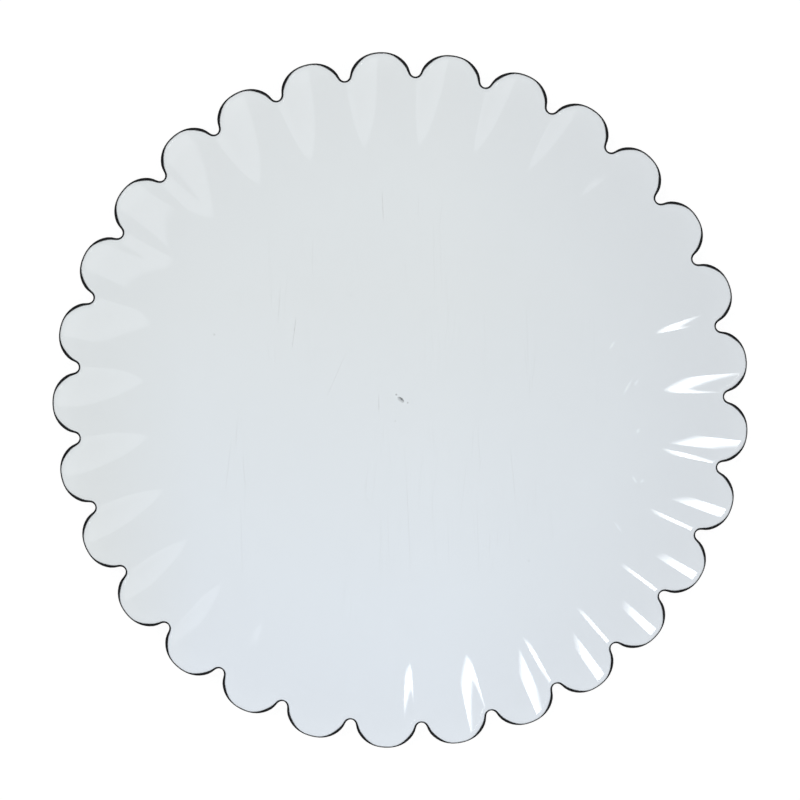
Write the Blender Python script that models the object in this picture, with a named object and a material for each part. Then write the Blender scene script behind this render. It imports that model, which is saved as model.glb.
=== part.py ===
"""A clear scalloped charger plate: one fluted moulding, and the dark line that follows its edge."""

import math

import bmesh
import bpy

# Sizes in metres
PLATE_DIAMETER = 0.328  # across the lobe tips along their upper edge, the lower edge stands out further
WELL_DIAMETER = 0.203  # flat floor, up to where the rim starts to rise
WALL = 0.003  # thickness of the moulding, square to its surface
RIM_HEIGHT = 0.0129  # rise of a lobe tip above the floor of the well

# Scalloped outline: each half lobe is a crown arc, a shoulder arc and half a notch arc
LOBE_COUNT = 29
NOTCH_DEPTH = 0.0114  # from the circle of the lobe tips in to the bottom of a notch
CROWN_RADIUS = 0.0182
CROWN_HALF_ANGLE = math.radians(12)
NOTCH_RADIUS = 0.0032

# Flutes: each lobe is a trough, and a rounded ridge runs in from each notch
FLUTE_DEPTH = 0.0021  # ridge above trough at the bottom of a notch
TROUGH_BEND = 0.132  # a longer bend turns up out of the well more softly
RIDGE_BEND = 0.073
TROUGH_SHARE = 0.78  # part of the half pitch that curves up, the ridge takes the rest

# Dark line round the edge
LINE_WIDTH = 0.0004
FIT_GAP = 0.0003

# Mark of the moulding gate, sunk into the underside so that the plate lies flat
GATE_RECESS_DIAMETER = 0.0036
GATE_RECESS_DEPTH = 0.0006
GATE_STUB_DIAMETER = 0.002
GATE_STUB_HEIGHT = 0.0004

# Fineness of the facets
CROWN_STEPS = 2
SHOULDER_STEPS = 3
NOTCH_STEPS = 2
RIM_STEPS = 5
GATE_STEPS = 24

# Sizes that follow from those above
TIP_RADIUS = PLATE_DIAMETER / 2
WELL_RADIUS = WELL_DIAMETER / 2
NOTCH_BOTTOM = TIP_RADIUS - NOTCH_DEPTH
HALF_PITCH = math.pi / LOBE_COUNT


def moved(start, distance, turn):
    """The point (across, out) at a distance from start, turned away from the middle line of the lobe."""
    return start[0] + distance * math.sin(turn), start[1] + distance * math.cos(turn)


def lobe_arcs():
    """The arcs of half a lobe, each tangent to the next: (centre, radius, first turn, last turn, steps).

    A hollow arc has a negative radius.
    """
    crown = (0.0, TIP_RADIUS - CROWN_RADIUS)
    joint = moved(crown, CROWN_RADIUS, CROWN_HALF_ANGLE)
    notch = moved((0.0, 0.0), NOTCH_BOTTOM + NOTCH_RADIUS, HALF_PITCH)
    reach = (notch[0] - joint[0], notch[1] - joint[1])
    along = reach[0] * math.sin(CROWN_HALF_ANGLE) + reach[1] * math.cos(CROWN_HALF_ANGLE)
    shoulder_radius = (math.hypot(*reach) ** 2 - NOTCH_RADIUS**2) / (2 * (NOTCH_RADIUS - along))
    shoulder = moved(joint, -shoulder_radius, CROWN_HALF_ANGLE)
    flank_turn = math.atan2(notch[0] - shoulder[0], notch[1] - shoulder[1])
    return (
        (crown, CROWN_RADIUS, 0.0, CROWN_HALF_ANGLE, CROWN_STEPS),
        (shoulder, shoulder_radius, CROWN_HALF_ANGLE, flank_turn, SHOULDER_STEPS),
        (notch, -NOTCH_RADIUS, flank_turn, HALF_PITCH, NOTCH_STEPS),
    )


def outline(inset):
    """The scalloped outline moved in by inset, with a notch on +X.

    Its points are (angle, offset from the middle line of the lobe, radius).
    """
    half = []
    for centre, radius, first, last, steps in lobe_arcs():
        for step in range(steps):
            turn = first + (last - first) * step / steps
            across, out = moved(centre, radius - inset, turn)
            half.append((math.atan2(across, out), math.hypot(across, out)))
    half.append((HALF_PITCH, NOTCH_BOTTOM - inset))
    lobe = [(-offset, radius) for offset, radius in half[:0:-1]] + half[:-1]
    middles = [(2 * number + 1) * HALF_PITCH for number in range(LOBE_COUNT)]
    return [(middle + offset, offset, radius) for middle in middles for offset, radius in lobe]


def ramp(distance, bend, full):
    """Rises softly from 0 at distance 0, then nearly straight, to 1 at distance full."""
    return distance**2 / (distance + bend) * (full + bend) / full**2


def flute(offset):
    """0 in the middle of a trough and 1 on the ridge, as two curves that meet at one slope."""
    away = abs(offset) / HALF_PITCH
    if away <= TROUGH_SHARE:
        return away**2 / TROUGH_SHARE
    return 1 - (1 - away) ** 2 / (1 - TROUGH_SHARE)


def trough_height(radius):
    """Rise along the middle line of a lobe."""
    return RIM_HEIGHT * ramp(radius - WELL_RADIUS, TROUGH_BEND, TIP_RADIUS - WELL_RADIUS)


def ridge_height(radius):
    """Rise along the line that runs in from a notch."""
    at_notch = trough_height(NOTCH_BOTTOM) + FLUTE_DEPTH
    return at_notch * ramp(radius - WELL_RADIUS, RIDGE_BEND, NOTCH_BOTTOM - WELL_RADIUS)


def surface_height(offset, radius):
    """Height of the upper surface."""
    trough = trough_height(radius)
    return WALL + trough + (ridge_height(radius) - trough) * flute(offset)


def add_ring(mesh, points):
    """A closed loop of edges on the upper surface."""
    corners = []
    for angle, offset, radius in points:
        height = surface_height(offset, radius)
        corners.append(mesh.verts.new((radius * math.cos(angle), radius * math.sin(angle), height)))
    return [mesh.edges.new((corners[i - 1], corners[i])) for i in range(len(corners))]


def add_object(name, mesh):
    """Puts a mesh into the scene, shaded smooth."""
    for face in mesh.faces:
        face.smooth = True
    data = bpy.data.meshes.new(name)
    mesh.to_mesh(data)
    mesh.free()
    made = bpy.data.objects.new(name, data)
    bpy.context.scene.collection.objects.link(made)
    return made


def add_sheet(name, mesh, material):
    """A solid grown down from an upper surface by the wall of the moulding."""
    bmesh.ops.recalc_face_normals(mesh, faces=mesh.faces[:])
    if sum(face.normal.z for face in mesh.faces) < 0:
        bmesh.ops.reverse_faces(mesh, faces=mesh.faces[:])
    made = add_object(name, mesh)
    made.data.materials.append(material)
    wall = made.modifiers.new("wall", "SOLIDIFY")
    wall.thickness = WALL
    wall.offset = -1
    wall.use_even_offset = True
    return made


def make_material(name, colour, roughness, transmission):
    """A plastic with one colour."""
    material = bpy.data.materials.new(name)
    material.use_nodes = True
    shader = material.node_tree.nodes["Principled BSDF"]
    shader.inputs["Base Color"].default_value = (*colour, 1.0)
    shader.inputs["Roughness"].default_value = roughness
    shader.inputs["Metallic"].default_value = 0.0
    shader.inputs["Transmission Weight"].default_value = transmission
    return material


def make_gate_cutter():
    """A turned cutter: the recess in the underside, less the stub where the gate broke off."""
    recess = GATE_RECESS_DIAMETER / 2
    stub = GATE_STUB_DIAMETER / 2
    stub_end = GATE_RECESS_DEPTH - GATE_STUB_HEIGHT
    below = -GATE_RECESS_DEPTH
    profile = [(0, below), (recess, below), (recess, GATE_RECESS_DEPTH)]
    profile += [(stub, GATE_RECESS_DEPTH), (stub, stub_end), (0, stub_end)]
    mesh = bmesh.new()
    points = [mesh.verts.new((radius, 0, height)) for radius, height in profile]
    edges = [mesh.edges.new(pair) for pair in zip(points, points[1:])]
    bmesh.ops.spin(
        mesh, geom=points + edges, cent=(0, 0, 0), axis=(0, 0, 1), angle=2 * math.pi, steps=GATE_STEPS
    )
    bmesh.ops.remove_doubles(mesh, verts=mesh.verts[:], dist=GATE_STUB_HEIGHT / 100)
    bmesh.ops.recalc_face_normals(mesh, faces=mesh.faces[:])
    cutter = add_object("gate_cutter", mesh)
    cutter.hide_render = True
    cutter.display_type = "WIRE"
    return cutter


def make_plate():
    """The clear moulding: a flat well and the fluted rim, out to the gap before the dark line."""
    edge = outline(LINE_WIDTH + FIT_GAP)
    mesh = bmesh.new()
    inner = add_ring(mesh, [(angle, offset, WELL_RADIUS) for angle, offset, out in edge])
    bmesh.ops.contextual_create(mesh, geom=inner)
    for step in range(RIM_STEPS):
        share = (step + 1) / RIM_STEPS
        ring = [(angle, offset, WELL_RADIUS + share * (out - WELL_RADIUS)) for angle, offset, out in edge]
        outer = add_ring(mesh, ring)
        bmesh.ops.bridge_loops(mesh, edges=inner + outer)
        inner = outer
    plastic = make_material("clear_plastic", (0.72, 0.77, 0.79), roughness=0.05, transmission=1.0)
    plate = add_sheet("clear_plate", mesh, plastic)
    gate = plate.modifiers.new("gate", "BOOLEAN")
    gate.operation = "DIFFERENCE"
    gate.solver = "EXACT"
    gate.object = make_gate_cutter()


def make_edge_line():
    """The dark line: a strip as thick as the moulding that follows the scalloped edge."""
    mesh = bmesh.new()
    inner = add_ring(mesh, outline(LINE_WIDTH))
    outer = add_ring(mesh, outline(0.0))
    bmesh.ops.bridge_loops(mesh, edges=inner + outer)
    dark = make_material("dark_edge", (0.012, 0.013, 0.015), roughness=0.2, transmission=0.0)
    add_sheet("edge_line", mesh, dark)


def main():
    for old in list(bpy.data.objects):
        bpy.data.objects.remove(old)
    make_plate()
    make_edge_line()


main()
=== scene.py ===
"""Looks of the scalloped plate: clear plastic with a dark edge line, seen from straight above on white."""

import math

import bpy
import numpy as np
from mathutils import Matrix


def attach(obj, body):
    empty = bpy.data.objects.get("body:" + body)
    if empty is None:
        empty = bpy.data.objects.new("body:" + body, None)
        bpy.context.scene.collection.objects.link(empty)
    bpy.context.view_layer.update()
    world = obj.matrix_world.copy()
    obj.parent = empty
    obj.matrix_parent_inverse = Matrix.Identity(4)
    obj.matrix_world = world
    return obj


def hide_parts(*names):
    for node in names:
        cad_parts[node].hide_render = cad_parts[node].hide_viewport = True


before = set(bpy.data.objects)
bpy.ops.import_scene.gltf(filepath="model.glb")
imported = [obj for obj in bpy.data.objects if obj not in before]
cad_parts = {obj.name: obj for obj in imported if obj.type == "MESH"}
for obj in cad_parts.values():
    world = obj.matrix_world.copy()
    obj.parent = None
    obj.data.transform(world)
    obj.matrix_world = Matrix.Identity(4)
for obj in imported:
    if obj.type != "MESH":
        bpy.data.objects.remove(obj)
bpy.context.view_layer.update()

# Sizes of the plate in metres, as in the solids but for a ridge that is slightly lower and rounder
TIP_RADIUS = 0.164
WELL_RADIUS = 0.1015
WALL = 0.003
RIM_HEIGHT = 0.0129
LOBE_COUNT = 29
NOTCH_DEPTH = 0.0114
CROWN_RADIUS = 0.0182
CROWN_HALF_ANGLE = math.radians(12)
NOTCH_RADIUS = 0.0032
FLUTE_DEPTH = 0.00199
TROUGH_BEND = 0.132
RIDGE_BEND = 0.073
TROUGH_SHARE = 0.74
NOTCH_BOTTOM = TIP_RADIUS - NOTCH_DEPTH
HALF_PITCH = math.pi / LOBE_COUNT

# Edge: the dark line is a thin skin on it, kept just inside the solids, and the corners are rounded
EDGE_INSET = 0.00004
LINE_WIDTH = 0.00016
LINE_DROP = 0.0011  # the line starts this far below the upper surface, where the rounded corner ends
LINE_SWELL = 0.00053  # the line is wider by this much on the flanks of a lobe
SWELL_PLACE = 1.6  # a higher power puts the widest place nearer to the notch
SWELL_SHARPNESS = 2.3  # a higher power makes the swelling shorter
LINE_LEAN = 0.00018  # and wider by this much on one side of the plate
LEAN_DIRECTION = math.radians(105)
FIT_GAP = 0.00005
UPPER_CORNER = 0.0016
SHARP_CORNER = 0.00005  # the lower corner of the moulding, and both corners of the line
EDGE_MARGIN = 0.0001  # of a last ring before a corner, which keeps the corner out of the sheet's shading

# Gate mark under the centre: a sunk spot with the broken stub in it, longer one way than the other
GATE_RECESS_RADIUS = 0.0017
GATE_RECESS_DEPTH = 0.0006
GATE_STUB_RADIUS = 0.0010
GATE_STUB_END = 0.0002
GATE_CORNER = 0.0001
GATE_FLATTENING = 0.55
GATE_DIRECTION = math.radians(-40)

# Specks in the well: (across, up, radius, strength), from its centre
SPECKS = (
    (-0.0021, 0.0025, 0.00060, 0.85),
    (0.0034, -0.0015, 0.00045, 0.85),
    (-0.0027, -0.0102, 0.00045, 0.52),
    (-0.0891, 0.0321, 0.00060, 0.45),
    (-0.0235, 0.0502, 0.00045, 0.43),
    (-0.0169, -0.0477, 0.00045, 0.36),
    (0.0608, -0.0779, 0.00050, 0.38),
)
SPECK_CORE = 1 / 3  # share of the radius that has the full strength, from there a speck fades out

# Longer hairlines in the well: (across, up, length, lean in degrees, strength), from its centre
HAIRLINES = (
    (-0.0078, 0.0931, 0.019, -2, 0.58),
    (-0.0509, 0.0326, 0.018, 8, 1.00),
    (-0.0580, 0.0454, 0.023, 5, 0.37),
    (-0.0310, 0.0118, 0.034, 24, 0.30),
    (0.0031, -0.0577, 0.080, -2, 0.26),
    (-0.0105, -0.0017, 0.012, 0, 0.72),
    (0.0537, -0.0376, 0.044, -5, 0.23),
)
HAIRLINE_WIDTH = 0.00036
MARK_CORE = 0.3  # share of a line or painted glint that has its full strength, from there it fades out

# The longer hairlines are broken by noise, in waves per metre
BREAK_WAVES = 300.0
BREAK_RANGE = (0.35, 0.55)  # values of the noise at a break and where a line is whole
BREAK_STRENGTH = 0.25  # what is left of a line at a break

# Fainter hairlines, as layers of stretched noise: (turn in radians, waves per metre along the lines)
FAINT_LAYERS = ((0.02, 9.0), (-0.13, 15.0), (0.09, 23.0), (-0.04, 35.0))
FAINT_WAVES = 1500.0  # across the lines
FAINT_RANGE = (0.70, 0.80)  # values of the noise where a line starts and where it is full
FAINT_STRENGTH = 0.13
LINES_FADE = (0.095, 0.125)  # distances from the centre over which all hairlines fade out

# Painted glints: short pale strokes where the well meets the rim, standing in for the key lamp mirrored in
# slight ripples there, in rows like those of the longer hairlines
PAINTED_GLINTS = (
    (0.1090, 0.0051, 0.010, 30, 1.00),
    (0.1132, 0.0072, 0.004, 35, 0.80),
    (0.1018, 0.0253, 0.005, 35, 1.00),
    (0.1118, -0.0393, 0.005, -29, 1.00),
    (0.1154, -0.0400, 0.003, 40, 0.80),
    (0.1137, -0.0160, 0.003, 20, 1.00),
    (0.1037, -0.0620, 0.007, -35, 0.60),
)
PAINTED_GLINT_WIDTH = 0.0015

# Clear plastic: each tint is a pair, between which a slight flow varies it
PLASTIC_IOR = 1.55
WELL_TINTS = ((0.808, 0.849, 0.893), (0.822, 0.862, 0.906))
RIM_TINTS = ((0.790, 0.825, 0.866), (0.803, 0.838, 0.880))
FLOW_WAVES = 14.0
WORN_TINT = (0.56, 0.59, 0.62)
# paler tint of the painted glints, which stand in for the key lamp mirrored in ripples
PAINTED_GLINT_TINT = (0.884, 0.928, 0.976)
SPECK_TINT = (0.25, 0.27, 0.28)
SMOOTH_ROUGHNESS = 0.02
WORN_ROUGHNESS = 0.15

# Dull break of the gate, with painted shade on the deep side of its recess: its grain varies the dark tint
# and the roughness between two values
GATE_TRANSMISSION = 0.8
GATE_DULL_AND_SHADED_TINTS = ((0.10, 0.11, 0.12), (0.40, 0.43, 0.45))
GATE_CLEAR_TINT = (0.80, 0.84, 0.88)
GATE_SHADE_FADE = (0.4, 2.0)  # shares of its half width over which the painted shade fades and it becomes clearer
GATE_GRAIN_WAVES = 1500.0
GATE_ROUGHNESS = (0.20, 0.50)

# Dark line: slight blotches vary its colour and roughness between two values
LINE_COLOURS = ((0.028, 0.029, 0.031), (0.046, 0.047, 0.050))
BLOTCH_WAVES = 90.0
LINE_ROUGHNESS = (0.35, 0.50)

# Floor, its colours as seen through the plate, and the places between which they change
FLOOR_SIZE = 6.0
FLOOR_GAP = 0.0003  # under the plate, so that two faces don't lie in one plane
FLOOR_COLOUR = (0.35, 0.35, 0.35)
FLOOR_ROUGHNESS = 0.9
BELOW_BACK = (0.965, 0.965, 0.930)
BELOW_FRONT = (0.988, 1.016, 1.039)
BELOW_RIGHT_BACK = (0.899, 0.906, 0.896)
BELOW_RIGHT_FRONT = (0.920, 0.935, 0.943)
BELOW_LEFT = (0.950, 0.955, 0.920)
FRONT_FADE = (0.05, -0.13)
RIGHT_FADE = (0.02, 0.15)
LEFT_FADE = (-0.10, -0.145)

# Shared by several materials
WHITE = (1.0, 1.0, 1.0)
NOISE_SPREAD = (0.3, 0.7)  # most values of a noise lie between these

# Fineness
CROWN_STEPS = 5
SHOULDER_STEPS = 8
NOTCH_STEPS = 5
RIM_STEPS = 26
WELL_STEPS = 5
ROUND_STEPS = 6
SLOPE_STEP = 1e-6  # in metres, over which a slope of the surface is taken

# Photo geometry: image size, and where the plate lies in it, in pixels
IMAGE_SIZE = 800
TIP_RADIUS_IN_PHOTO = 347.60
CENTRE_IN_PHOTO = (400.68, 399.77)
NOTCH_ANGLE_IN_PHOTO = math.radians(0.53)
CAMERA_HEIGHT = 0.80  # in metres above the floor
SENSOR_WIDTH = 36.0  # in millimetres, as lenses are given

# Light: a small high key lamp, a wide low weak panel on the other side, and even light from all round
KEY_LAMP = {
    "direction": math.radians(142.2),
    "near": 0.322,
    "far": 0.535,
    "middle": -0.003,
    "wide": 0.24,
    "height": 3.5,
    "radiance": 7.0,
    "soft": (0.36, 0.36, 0.06),
    "taper": 0.20,
}
FILL_LAMP = {
    "direction": math.radians(329.2),
    "near": 0.215,
    "far": 0.90,
    "middle": -0.063,
    "wide": 0.97,
    "height": 1.3,
    "radiance": 0.47,
    "soft": (0.035, 0.87, 0.03),
    "taper": 0.19,
}
FLOOR_GLOW = 0.88  # strength of the floor's own white
AMBIENT = 0.35  # strength of the light from all round


def moved(start, distance, turn):
    """The point (across, out) at a distance from start, turned away from the middle line of the lobe."""
    return start[0] + distance * math.sin(turn), start[1] + distance * math.cos(turn)


def lobe_arcs():
    """Crown, shoulder and notch arcs of half a lobe: (centre, radius, first turn, last turn, steps)."""
    crown = (0.0, TIP_RADIUS - CROWN_RADIUS)
    joint = moved(crown, CROWN_RADIUS, CROWN_HALF_ANGLE)
    notch = moved((0.0, 0.0), NOTCH_BOTTOM + NOTCH_RADIUS, HALF_PITCH)
    reach = (notch[0] - joint[0], notch[1] - joint[1])
    along = reach[0] * math.sin(CROWN_HALF_ANGLE) + reach[1] * math.cos(CROWN_HALF_ANGLE)
    shoulder_radius = (math.hypot(*reach) ** 2 - NOTCH_RADIUS**2) / (2 * (NOTCH_RADIUS - along))
    shoulder = moved(joint, -shoulder_radius, CROWN_HALF_ANGLE)
    flank_turn = math.atan2(notch[0] - shoulder[0], notch[1] - shoulder[1])
    return (
        (crown, CROWN_RADIUS, 0.0, CROWN_HALF_ANGLE, CROWN_STEPS),
        (shoulder, shoulder_radius, CROWN_HALF_ANGLE, flank_turn, SHOULDER_STEPS),
        (notch, -NOTCH_RADIUS, flank_turn, HALF_PITCH, NOTCH_STEPS),
    )


def outline(inset, uneven):
    """Arrays (angle, offset from the middle line of the lobe, radius) of the outline moved in by inset.

    An uneven outline is moved in further where the dark line is wider.
    """
    swell = LINE_SWELL if uneven else 0.0
    lean = LINE_LEAN if uneven else 0.0
    half = []
    for centre, radius, first, last, steps in lobe_arcs():
        for step in range(steps):
            turn = first + (last - first) * step / steps
            share = math.atan2(*moved(centre, radius, turn)) / HALF_PITCH
            bulge = swell * math.sin(math.pi * share**SWELL_PLACE) ** SWELL_SHARPNESS
            across, out = moved(centre, radius - inset - bulge, turn)
            half.append((math.atan2(across, out), math.hypot(across, out)))
    half.append((HALF_PITCH, NOTCH_BOTTOM - inset))
    lobe = np.array([(-offset, radius) for offset, radius in half[:0:-1]] + half[:-1])
    middles = (2 * np.arange(LOBE_COUNT) + 1) * HALF_PITCH
    angle = (middles[:, None] + lobe[None, :, 0]).ravel()
    radius = np.tile(lobe[:, 1], LOBE_COUNT) - lean * (1 + np.cos(angle - LEAN_DIRECTION)) / 2
    return angle, np.tile(lobe[:, 0], LOBE_COUNT), radius


def ramp(distance, bend, full):
    """Rises softly from 0 at distance 0, then nearly straight, to 1 at distance full."""
    return distance**2 / (distance + bend) * (full + bend) / full**2


def flute(offset):
    """0 in the middle of a trough and 1 on the ridge."""
    away = np.abs(offset) / HALF_PITCH
    ridge = 1 - (1 - away) ** 2 / (1 - TROUGH_SHARE)
    return np.where(away <= TROUGH_SHARE, away**2 / TROUGH_SHARE, ridge)


def trough_height(radius):
    """Rise along the middle line of a lobe."""
    return RIM_HEIGHT * ramp(radius - WELL_RADIUS, TROUGH_BEND, TIP_RADIUS - WELL_RADIUS)


def ridge_height(radius):
    """Rise along the line that runs in from a notch."""
    at_notch = trough_height(NOTCH_BOTTOM) + FLUTE_DEPTH
    return at_notch * ramp(radius - WELL_RADIUS, RIDGE_BEND, NOTCH_BOTTOM - WELL_RADIUS)


def surface_height(offset, radius):
    """Height of the upper surface."""
    outside = np.maximum(radius, WELL_RADIUS)
    trough = trough_height(outside)
    return WALL + trough + (ridge_height(outside) - trough) * flute(offset)


def upper_points(angle, offset, radius):
    """Points on the upper surface, and the normals there."""
    turn = SLOPE_STEP / radius
    height = surface_height(offset, radius)
    rise_out = surface_height(offset, radius + SLOPE_STEP) - surface_height(offset, radius - SLOPE_STEP)
    rise_round = surface_height(offset + turn, radius) - surface_height(offset - turn, radius)
    slope_out = rise_out / (2 * SLOPE_STEP)
    slope_round = rise_round / (2 * SLOPE_STEP)
    up = np.array([0.0, 0.0, 1.0])
    out = np.stack([np.cos(angle), np.sin(angle), np.zeros_like(angle)], axis=1)
    points = out * radius[:, None] + up * height[:, None]
    normals = up - out * slope_out[:, None] - np.cross(up, out) * slope_round[:, None]
    return points, normals / np.linalg.norm(normals, axis=1)[:, None]


def edge_points(inset, uneven):
    """Points on the upper surface along the outline moved in by inset, and the normals there."""
    return upper_points(*outline(inset, uneven))


def edge_frame(inset, uneven):
    """The same points and normals, and the way out of the sheet there."""
    points, normals = edge_points(inset, uneven)
    along = np.roll(points, -1, axis=0) - np.roll(points, 1, axis=0)
    outward = np.cross(along, normals)
    return points, normals, outward / np.linalg.norm(outward, axis=1)[:, None]


def flat_ring(angle, radius, height):
    """A level circle of points."""
    return np.stack([radius * np.cos(angle), radius * np.sin(angle), np.full_like(angle, height)], axis=1)


def gate_side(angle):
    """1 on the far side of the gate mark, where it is deepest, and 0 on its near side."""
    return (1 + np.sin(angle - GATE_DIRECTION)) / 2


def gate_ring(angle, radius, height):
    """A flattened circle of points, turned as the gate mark lies and higher on its far side."""
    across = radius * np.cos(angle - GATE_DIRECTION)
    along = radius * np.sin(angle - GATE_DIRECTION) * GATE_FLATTENING
    turned_x = across * math.cos(GATE_DIRECTION) - along * math.sin(GATE_DIRECTION)
    turned_y = across * math.sin(GATE_DIRECTION) + along * math.cos(GATE_DIRECTION)
    return np.stack([turned_x, turned_y, height * gate_side(angle)], axis=1)


def rounded_edge(inset, uneven, upper, lower, drop):
    """Rings over the edge at inset, from the upper corner, a drop below the surface, to the lower one."""
    points, normals, outward = edge_frame(inset + upper, uneven)
    turns = [math.pi / 2 * step / ROUND_STEPS for step in range(ROUND_STEPS + 1)]
    rings = []
    for turn in turns:
        depth = drop + upper * (1 - math.cos(turn))
        rings.append(points + outward * upper * math.sin(turn) - normals * depth)
    for turn in turns:
        out = upper - lower * (1 - math.cos(turn))
        depth = WALL - lower * (1 - math.sin(turn))
        rings.append(points + outward * out - normals * depth)
    return rings


def mesh_from_rings(name, rings, closed, materials):
    """A mesh of quads between rings of points. It closes on itself, or is capped at both ends."""
    count = len(rings[0])
    points = np.concatenate(rings)
    faces = []
    steps = len(rings) if closed else len(rings) - 1
    for row in range(steps):
        here = row * count
        there = (row + 1) % len(rings) * count
        for column in range(count):
            beside = (column + 1) % count
            faces.append((here + column, there + column, there + beside, here + beside))
    if not closed:
        faces.append(tuple(range(count)))
        faces.append(tuple(range(len(points) - 1, len(points) - count - 1, -1)))
    data = bpy.data.meshes.new(name)
    data.from_pydata(points.tolist(), [], faces)
    data.polygons.foreach_set("use_smooth", [True] * len(data.polygons))
    for material in materials:
        data.materials.append(material)
    made = bpy.data.objects.new(name, data)
    bpy.context.scene.collection.objects.link(made)
    return made


class Paint:
    """Short ways to add nodes to a material, a lamp or the world."""

    def __init__(self, owner, shader="Principled BSDF"):
        owner.use_nodes = True
        self.owner = owner
        self.nodes = owner.node_tree.nodes
        self.links = owner.node_tree.links
        self.shader = self.nodes[shader]

    def fill(self, socket, value):
        """Links an output into a socket, or sets a plain value there."""
        if isinstance(value, bpy.types.NodeSocket):
            self.links.new(value, socket)
        elif isinstance(value, tuple):
            socket.default_value = (*value, 1.0)
        else:
            socket.default_value = value

    def set(self, name, value):
        """Fills a socket of the shader."""
        self.fill(self.shader.inputs[name], value)

    def place(self):
        """Where a point lies on the object."""
        return self.nodes.new("ShaderNodeTexCoord").outputs["Object"]

    def noise(self, stretch, turn=0.0, detail=2.0):
        """Noise with so many waves per metre along the object's axes, which are first turned about +Z."""
        mapping = self.nodes.new("ShaderNodeMapping")
        mapping.vector_type = "TEXTURE"
        mapping.inputs["Rotation"].default_value = (0, 0, turn)
        mapping.inputs["Scale"].default_value = [1 / waves for waves in stretch]
        self.links.new(self.place(), mapping.inputs["Vector"])
        noise = self.nodes.new("ShaderNodeTexNoise")
        noise.inputs["Scale"].default_value = 1.0
        noise.inputs["Detail"].default_value = detail
        self.links.new(mapping.outputs["Vector"], noise.inputs["Vector"])
        return noise.outputs["Fac"]

    def distance(self, centre):
        """How far a point of the object is from centre."""
        node = self.nodes.new("ShaderNodeVectorMath")
        node.operation = "DISTANCE"
        node.inputs[1].default_value = centre
        self.links.new(self.place(), node.inputs[0])
        return node.outputs["Value"]

    def from_ellipse(self, centre, radii, turn):
        """How far a point is from centre, as a share of the radii of an ellipse turned about +Z."""
        mapping = self.nodes.new("ShaderNodeMapping")
        mapping.vector_type = "TEXTURE"
        mapping.inputs["Location"].default_value = (*centre, 0)
        mapping.inputs["Rotation"].default_value = (0, 0, turn)
        mapping.inputs["Scale"].default_value = (*radii, 1)
        self.links.new(self.place(), mapping.inputs["Vector"])
        node = self.nodes.new("ShaderNodeVectorMath")
        node.operation = "LENGTH"
        self.links.new(mapping.outputs["Vector"], node.inputs[0])
        return node.outputs["Value"]

    def split(self, vector):
        """The x and y of a vector."""
        node = self.nodes.new("ShaderNodeSeparateXYZ")
        self.links.new(vector, node.inputs["Vector"])
        return node.outputs["X"], node.outputs["Y"]

    def seen_by(self, *kinds):
        """1 for these kinds of ray, else 0."""
        path = self.nodes.new("ShaderNodeLightPath")
        total = path.outputs[kinds[0]]
        for kind in kinds[1:]:
            total = self.math("MAXIMUM", total, path.outputs[kind])
        return total

    def math(self, operation, first, second=0.0):
        """One calculation with two values."""
        node = self.nodes.new("ShaderNodeMath")
        node.operation = operation
        self.fill(node.inputs[0], first)
        self.fill(node.inputs[1], second)
        return node.outputs["Value"]

    def band(self, value, low, high, start=0.0, end=1.0):
        """Maps value from low and high to start and end, held outside them."""
        node = self.nodes.new("ShaderNodeMapRange")
        node.inputs["From Min"].default_value = low
        node.inputs["From Max"].default_value = high
        node.inputs["To Min"].default_value = start
        node.inputs["To Max"].default_value = end
        self.links.new(value, node.inputs["Value"])
        return node.outputs["Result"]

    def mix(self, amount, first, second):
        """One colour into another."""
        node = self.nodes.new("ShaderNodeMix")
        node.data_type = "RGBA"
        self.fill(node.inputs["Factor"], amount)
        self.fill(node.inputs["A"], first)
        self.fill(node.inputs["B"], second)
        return node.outputs["Result"]


def thin_marks(paint, marks, width):
    """Thin ellipses: the strength of a mark along its middle, else 0."""
    found = 0.0
    for across, up, length, lean, strength in marks:
        away = paint.from_ellipse((across, up), (width / 2, length / 2), math.radians(-lean))
        found = paint.math("MAXIMUM", found, paint.band(away, 1.0, MARK_CORE, 0.0, strength))
    return found


def hairlines(paint):
    """Hairlines in the well, nearly along +Y, as stacking leaves them: up to 1 on a line, else 0.

    The longer ones are thin ellipses with breaks, and the fainter ones come from long stretched noise.
    """
    long_lines = thin_marks(paint, HAIRLINES, HAIRLINE_WIDTH)
    breaks = paint.noise((BREAK_WAVES, BREAK_WAVES, 1.0))
    lines = paint.math("MULTIPLY", long_lines, paint.band(breaks, *BREAK_RANGE, BREAK_STRENGTH, 1.0))
    for turn, waves in FAINT_LAYERS:
        layer = paint.noise((FAINT_WAVES, waves, 1.0), turn, detail=1.0)
        lines = paint.math("MAXIMUM", lines, paint.band(layer, *FAINT_RANGE, 0.0, FAINT_STRENGTH))
    in_well = paint.band(paint.distance((0, 0, 0)), *LINES_FADE, 1.0, 0.0)
    return paint.math("MULTIPLY", lines, in_well)


def specks(paint):
    """A few specks on the floor of the well: the strength of a speck in its middle, else 0."""
    spots = 0.0
    for across, up, radius, strength in SPECKS:
        away = paint.distance((across, up, WALL))
        spots = paint.math("MAXIMUM", spots, paint.band(away, radius * SPECK_CORE, radius, strength, 0.0))
    return spots


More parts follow.
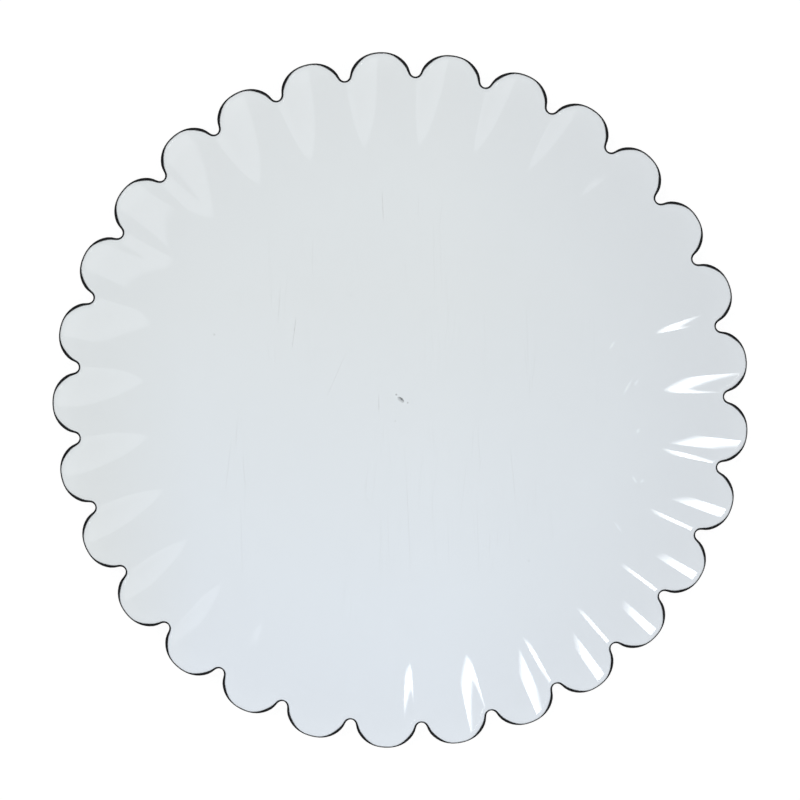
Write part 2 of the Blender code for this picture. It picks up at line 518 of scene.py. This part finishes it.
def clear_plastic():
    """Clear plastic: a cool tint, deeper on the rim, with slight flow, hairlines and specks, and painted
    glints of the key lamp where the well meets the rim.
    """
    paint = Paint(bpy.data.materials.new("clear_plastic"))
    paint.set("Transmission Weight", 1.0)
    paint.set("IOR", PLASTIC_IOR)
    flow = paint.noise((FLOW_WAVES, FLOW_WAVES, FLOW_WAVES))
    on_rim = paint.band(paint.distance((0, 0, 0)), WELL_RADIUS, NOTCH_BOTTOM)
    tint = paint.mix(on_rim, paint.mix(flow, *WELL_TINTS), paint.mix(flow, *RIM_TINTS))
    lines = hairlines(paint)
    worn = paint.mix(lines, tint, WORN_TINT)
    # painted glints: pale strokes that stand in for the key lamp mirrored in ripples at the foot of the rim
    with_painted_glints = paint.mix(thin_marks(paint, PAINTED_GLINTS, PAINTED_GLINT_WIDTH), worn, PAINTED_GLINT_TINT)
    paint.set("Base Color", paint.mix(specks(paint), with_painted_glints, SPECK_TINT))
    paint.set("Roughness", paint.band(lines, 0.0, 1.0, SMOOTH_ROUGHNESS, WORN_ROUGHNESS))
    return paint.owner


def gate_break_and_shade():
    """The dull break that the gate leaves, with painted shade: dark on its deep side and clearer towards
    the other.
    """
    paint = Paint(bpy.data.materials.new("gate_break_and_shade"))
    paint.set("Transmission Weight", GATE_TRANSMISSION)
    deep_side = GATE_DIRECTION + math.pi / 2
    reach = GATE_RECESS_RADIUS * GATE_FLATTENING
    away = paint.distance((reach * math.cos(deep_side), reach * math.sin(deep_side), GATE_RECESS_DEPTH))
    fade_start, fade_end = GATE_SHADE_FADE
    # painted shade: darkest at the deep side of the recess, fading towards the other side
    clearer = paint.band(away, fade_start * reach, fade_end * reach)
    grain = paint.noise((GATE_GRAIN_WAVES, GATE_GRAIN_WAVES, GATE_GRAIN_WAVES), detail=3.0)
    paint.set("Base Color", paint.mix(clearer, paint.mix(grain, *GATE_DULL_AND_SHADED_TINTS), GATE_CLEAR_TINT))
    paint.set("Roughness", paint.band(grain, *NOISE_SPREAD, *GATE_ROUGHNESS))
    return paint.owner


def dark_edge():
    """The near black line round the edge, with slight unevenness."""
    paint = Paint(bpy.data.materials.new("dark_edge"))
    blotch = paint.noise((BLOTCH_WAVES, BLOTCH_WAVES, BLOTCH_WAVES), detail=4.0)
    paint.set("Specular IOR Level", 0.0)
    paint.set("Base Color", paint.mix(blotch, *LINE_COLOURS))
    paint.set("Roughness", paint.band(blotch, *NOISE_SPREAD, *LINE_ROUGHNESS))
    return paint.owner


def rim_rings(inset):
    """Rings over the rim, from the well out: those on the upper surface, and those on the underside."""
    angle, offset, radius = outline(inset + UPPER_CORNER, uneven=True)
    upper = []
    under = []
    for step in range(RIM_STEPS):
        share = step / RIM_STEPS
        points, normals = upper_points(angle, offset, WELL_RADIUS + share * (radius - WELL_RADIUS))
        upper.append(points)
        under.append(points - normals * WALL)
    points, normals = edge_points(inset + UPPER_CORNER + EDGE_MARGIN, uneven=True)
    upper.append(points)
    under.append(points - normals * WALL)
    points, normals = edge_points(inset + SHARP_CORNER + EDGE_MARGIN, uneven=True)
    under.append(points - normals * WALL)
    return upper, under


def gate_lip(angle):
    """Rings over the rounded lip of the gate mark, from the flat underside in."""
    return [
        gate_ring(angle, GATE_RECESS_RADIUS + 2 * GATE_CORNER, 0.0),
        gate_ring(angle, GATE_RECESS_RADIUS + GATE_CORNER, 0.0),
        gate_ring(angle, GATE_RECESS_RADIUS, GATE_CORNER / 2),
    ]


def gate_hollow(angle):
    """Rings inside the gate mark, in to the end of the stub."""
    return [
        gate_ring(angle, GATE_RECESS_RADIUS - GATE_CORNER, GATE_RECESS_DEPTH),
        gate_ring(angle, GATE_STUB_RADIUS, GATE_RECESS_DEPTH),
        gate_ring(angle, GATE_STUB_RADIUS - GATE_CORNER, GATE_STUB_END),
    ]


def make_plate():
    """The clear moulding with its rounded edge and the gate mark underneath."""
    inset = EDGE_INSET + LINE_WIDTH + FIT_GAP
    angle = outline(inset + UPPER_CORNER, uneven=True)[0]
    well = [WELL_RADIUS * (step + 1) / WELL_STEPS for step in range(WELL_STEPS - 1)]
    upper, under = rim_rings(inset)
    rings = [flat_ring(angle, flat, WALL) for flat in well] + upper
    rings += rounded_edge(inset, uneven=True, upper=UPPER_CORNER, lower=SHARP_CORNER, drop=0.0)
    rings += under[::-1] + [flat_ring(angle, flat, 0.0) for flat in well[::-1]]
    rings += gate_lip(angle)
    first_row = len(rings)
    rings += gate_hollow(angle)
    last_row = len(rings) - 1
    materials = [clear_plastic(), gate_break_and_shade()]
    plate = mesh_from_rings("clear_plate_look", rings, closed=False, materials=materials)
    # The second material goes on the rows inside the gate mark and on the cap of its stub, the last face
    hollow = plate.data.polygons[first_row * len(angle) : last_row * len(angle)]
    for face in [*hollow, plate.data.polygons[-1]]:
        face.material_index = 1
    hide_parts("clear_plate")
    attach(plate, "root")


def make_edge_line():
    """The dark skin on the edge."""
    points, normals = edge_points(EDGE_INSET + LINE_WIDTH, uneven=True)
    outside = rounded_edge(EDGE_INSET, uneven=False, upper=SHARP_CORNER, lower=SHARP_CORNER, drop=LINE_DROP)
    rings = [points - normals * LINE_DROP] + outside + [points - normals * WALL]
    line = mesh_from_rings("edge_line_look", rings, closed=True, materials=[dark_edge()])
    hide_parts("edge_line")
    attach(line, "root")


def make_floor():
    """A plain pale floor. Part of its white is its own, so that the shadow stays soft.

    Through the plate it looks a little cooler at the front and dimmer at the right and at the far left.
    """
    bpy.ops.mesh.primitive_plane_add(size=FLOOR_SIZE, location=(0, 0, -FLOOR_GAP))
    floor = bpy.context.object
    floor.name = "floor"
    paint = Paint(bpy.data.materials.new("floor"))
    paint.set("Base Color", FLOOR_COLOUR)
    paint.set("Roughness", FLOOR_ROUGHNESS)
    across, up = paint.split(paint.place())
    front = paint.band(up, *FRONT_FADE)
    right = paint.band(across, *RIGHT_FADE)
    left = paint.band(across, *LEFT_FADE)
    below = paint.mix(front, BELOW_BACK, BELOW_FRONT)
    below = paint.mix(right, below, paint.mix(front, BELOW_RIGHT_BACK, BELOW_RIGHT_FRONT))
    below = paint.mix(left, below, BELOW_LEFT)
    through = paint.seen_by("Is Transmission Ray")
    paint.set("Emission Color", paint.mix(through, WHITE, below))
    shown = paint.seen_by("Is Camera Ray", "Is Glossy Ray", "Is Transmission Ray")
    paint.set("Emission Strength", paint.math("MULTIPLY", shown, FLOOR_GLOW))
    floor.data.materials.append(paint.owner)


def make_world():
    """White behind the floor, and an even soft light from all round."""
    world = bpy.data.worlds.new("studio")
    bpy.context.scene.world = world
    paint = Paint(world, "Background")
    paint.set("Color", WHITE)
    paint.set("Strength", paint.band(paint.seen_by("Is Camera Ray"), 0.0, 1.0, AMBIENT, 1.0))


def make_softbox(name, direction, near, far, middle, wide, height, radiance, soft, taper):
    """A level lamp above the plate: near, far, middle and wide are lengths over its height.

    It fades over the soft shares: of its depth at the near side and at the far side, and of its width at
    the ends. A taper makes the near side narrower.
    """
    data = bpy.data.lights.new(name, "AREA")
    data.shape = "RECTANGLE"
    data.size = (far - near) * height
    data.size_y = wide * height
    data.energy = radiance * math.pi * data.size * data.size_y
    soft_near, soft_far, soft_sides = soft
    half = 0.5  # of the width, which runs from 0 to 1
    paint = Paint(data, "Emission")
    depth, side = paint.split(paint.nodes.new("ShaderNodeNewGeometry").outputs["Parametric"])
    off_middle = paint.math("ABSOLUTE", paint.math("SUBTRACT", side, half))
    past_taper = paint.math("SUBTRACT", off_middle, paint.math("MULTIPLY", depth, taper))
    at_near = paint.band(depth, 0.0, soft_near)
    at_far = paint.band(depth, 1.0, 1.0 - soft_far)
    at_sides = paint.band(past_taper, half - taper, half - taper - soft_sides)
    paint.set("Strength", paint.math("MULTIPLY", paint.math("MULTIPLY", at_near, at_far), at_sides))
    lamp = bpy.data.objects.new(name, data)
    reach = (near + far) / 2 * height
    aside = middle * height
    across = reach * math.cos(direction) - aside * math.sin(direction)
    up = reach * math.sin(direction) + aside * math.cos(direction)
    lamp.location = (across, up, height)
    lamp.rotation_euler = (0, 0, direction)
    bpy.context.scene.collection.objects.link(lamp)


def make_camera():
    """Straight above the plate, turned and placed so that the plate lies as in the photo."""
    data = bpy.data.cameras.new("camera")
    data.sensor_width = SENSOR_WIDTH
    tip_height = WALL + RIM_HEIGHT
    pixels = TIP_RADIUS_IN_PHOTO * (CAMERA_HEIGHT - tip_height) / TIP_RADIUS
    data.lens = pixels * SENSOR_WIDTH / IMAGE_SIZE
    camera = bpy.data.objects.new("camera", data)
    size_of_pixel = CAMERA_HEIGHT / pixels
    right = (IMAGE_SIZE / 2 - CENTRE_IN_PHOTO[0]) * size_of_pixel
    up = (CENTRE_IN_PHOTO[1] - IMAGE_SIZE / 2) * size_of_pixel
    camera.location = (right, up, CAMERA_HEIGHT)
    camera.rotation_euler = (0, 0, -NOTCH_ANGLE_IN_PHOTO)
    bpy.context.scene.collection.objects.link(camera)
    bpy.context.scene.camera = camera


make_plate()
make_edge_line()
make_floor()
make_world()
make_softbox("key", **KEY_LAMP)
make_softbox("fill", **FILL_LAMP)
make_camera()
bpy.context.scene.view_settings.view_transform = "Standard"
